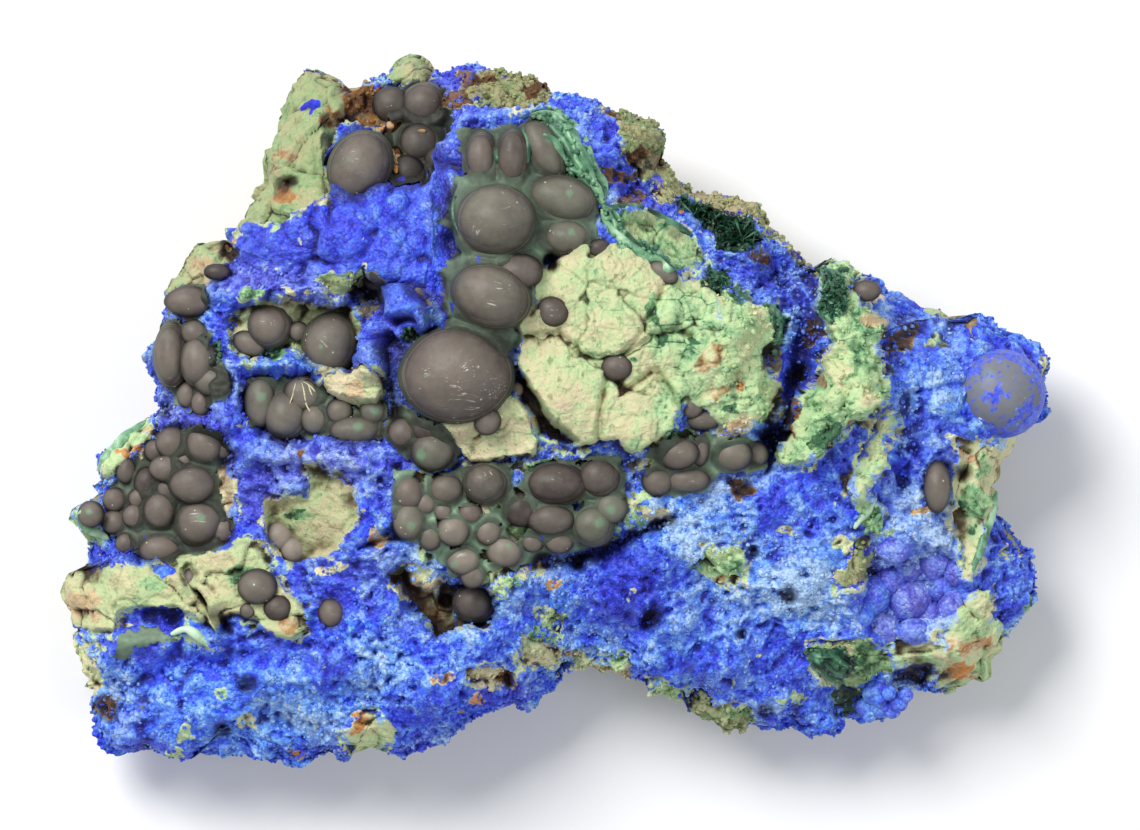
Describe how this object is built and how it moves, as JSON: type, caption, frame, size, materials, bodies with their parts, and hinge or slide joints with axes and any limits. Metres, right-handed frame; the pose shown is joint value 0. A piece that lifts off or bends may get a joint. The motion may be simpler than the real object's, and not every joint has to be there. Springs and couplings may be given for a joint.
{
  "type": "azurite and malachite mineral specimen",
  "caption": "Cabinet specimen of blue azurite crust with cream and green slabs, malachite folds and clusters of dark botryoidal balls on broken matrix rock.",
  "frame": {"origin": "middle of the bounding box in plan, on the flat back that the specimen lies on", "axes": "+X to the right along the longest side and +Y up the display face, both as the display face is shown; +Z out of the display face"},
  "size_m": [0.1254, 0.09, 0.0405],
  "materials": {
    "azurite": "matte",
    "malachite": "satin",
    "pale_slab": "matte",
    "balls": "satin",
    "matrix": "matte"
  },
  "bodies": {
    "root": {"azurite_specimen": "azurite"}
  },
  "joints": []
}
